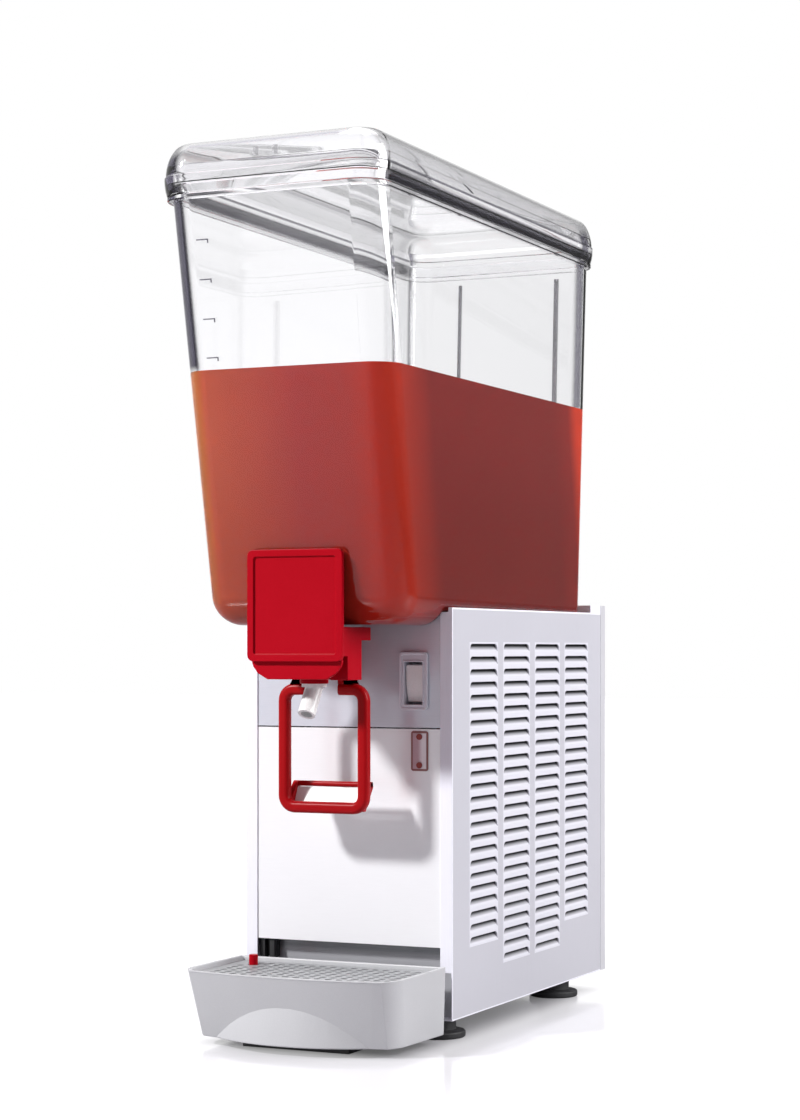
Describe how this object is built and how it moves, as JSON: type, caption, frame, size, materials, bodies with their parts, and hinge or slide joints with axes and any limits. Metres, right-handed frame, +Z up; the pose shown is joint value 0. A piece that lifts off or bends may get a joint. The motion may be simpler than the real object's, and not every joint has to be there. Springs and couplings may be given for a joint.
{
  "type": "cold drink dispenser",
  "caption": "Counter-top cold drink dispenser: clear tapered tank with lid and lever tap on a narrow louvred cooling cabinet with a drip tray.",
  "frame": {"origin": "on the floor under the middle of the overall box", "axes": "+Z up, +Y to the back of the cabinet, +X to the right as seen from the front"},
  "size_m": [0.1874, 0.4824, 0.6811],
  "materials": {
    "steel_panel": "satin light grey",
    "front_steel": "satin",
    "polished_steel": "polished",
    "inner_steel": "plain sheet",
    "clear_plastic": "clear moulding",
    "red_plastic": "gloss moulding",
    "white_plastic": "gloss moulding",
    "grey_plastic": "fine matt moulding",
    "grid_plastic": "fine matt moulding",
    "bezel_plastic": "satin moulding",
    "black_rubber": "matt",
    "black_plastic": "matt",
    "black_steel": "black paint",
    "motor_steel": "plain",
    "copper": "drawn tube",
    "foam": "foam",
    "fin_aluminium": "plain",
    "zinc": "zinc plated"
  },
  "bodies": {
    "cabinet": {"base_pan": "inner_steel", "side_panel_right": "steel_panel", "side_panel_left": "steel_panel", "rear_panel": "steel_panel", "top_deck": "inner_steel", "upper_front_panel": "polished_steel", "lower_front_panel": "front_steel", "kick_plate": "front_steel", "access_plate": "white_plastic", "panel_screws": "zinc", "feet": "black_rubber", "foot_studs": "zinc", "tray_bracket": "black_steel", "tray_clip": "black_plastic", "cord_gland": "black_plastic", "switch_bezel": "bezel_plastic", "thermostat": "black_plastic", "insulation": "foam", "evaporator": "front_steel", "evaporator_coil": "copper", "tank_gasket": "black_rubber", "mixer_motor": "motor_steel", "compressor": "black_steel", "compressor_mounts": "black_rubber", "condenser": "fin_aluminium", "fan_shroud": "inner_steel", "fan_bracket": "inner_steel", "fan_motor": "motor_steel", "filter_drier": "copper", "refrigerant_pipes": "copper"},
    "fan": {"fan_blades": "fin_aluminium"},
    "mixer_drive": {"drive_magnet": "motor_steel"},
    "stirrer": {"stirrer": "white_plastic"},
    "rocker": {"switch_rocker": "white_plastic"},
    "tank": {"tank": "clear_plastic", "tap_body": "red_plastic", "tap_cover": "red_plastic", "tap_cap": "red_plastic", "tap_spring": "zinc", "spout": "white_plastic", "outlet_seal": "black_rubber", "lever_pin": "zinc"},
    "lid": {"lid": "clear_plastic"},
    "lever": {"lever": "red_plastic", "lever_pad": "white_plastic"},
    "piston": {"tap_piston": "white_plastic", "piston_seals": "black_rubber"},
    "drip_tray": {"drip_tray": "grey_plastic"},
    "drip_grid": {"drip_grid": "grid_plastic"},
    "float": {"tray_float": "red_plastic"}
  },
  "joints": [
    {"name": "tank_lift", "type": "slide", "parent": "cabinet", "child": "tank", "axis": [0, 0, 1], "range_m": [0, 0.16]},
    {"name": "lid_lift", "type": "slide", "parent": "tank", "child": "lid", "axis": [0, 0, 1], "range_m": [0, 0.12]},
    {"name": "lever_hinge", "type": "hinge", "parent": "tank", "child": "lever", "pos_m": [0, -0.17635, 0.303], "axis": [1, 0, 0], "range_deg": [0, 10], "stiffness_Nm_per_rad": 1.2, "springref_deg": -14.32},
    {"name": "piston_slide", "type": "slide", "parent": "tank", "child": "piston", "axis": [0, 0, 1], "range_m": [0, 0.0036], "deforming": ["tap_spring"]},
    {"name": "rocker_tilt", "type": "hinge", "parent": "cabinet", "child": "rocker", "pos_m": [0.0576, -0.09485, 0.276], "axis": [1, 0, 0], "range_deg": [-16, 0]},
    {"name": "fan_spin", "type": "hinge", "parent": "cabinet", "child": "fan", "pos_m": [0, -0.00185, 0.12], "axis": [0, 1, 0], "continuous": true},
    {"name": "mixer_spin", "type": "hinge", "parent": "cabinet", "child": "mixer_drive", "pos_m": [0, 0.05015, 0.4], "axis": [0, 0, 1], "continuous": true},
    {"name": "stirrer_spin", "type": "hinge", "parent": "cabinet", "child": "stirrer", "pos_m": [0, 0.05015, 0.46], "axis": [0, 0, 1], "continuous": true},
    {"name": "tray_pull", "type": "slide", "parent": "cabinet", "child": "drip_tray", "axis": [0, -1, 0], "range_m": [0, 0.13]},
    {"name": "grid_lift", "type": "slide", "parent": "drip_tray", "child": "drip_grid", "axis": [0, 0, 1], "range_m": [0, 0.06]},
    {"name": "float_rise", "type": "slide", "parent": "drip_tray", "child": "float", "axis": [0, 0, 1], "range_m": [0, 0.012]}
  ],
  "couplings": [
    {"joint": "piston_slide", "follows": "lever_hinge", "m_per_rad": 0.0195},
    {"joint": "stirrer_spin", "follows": "mixer_spin", "ratio": 1}
  ]
}
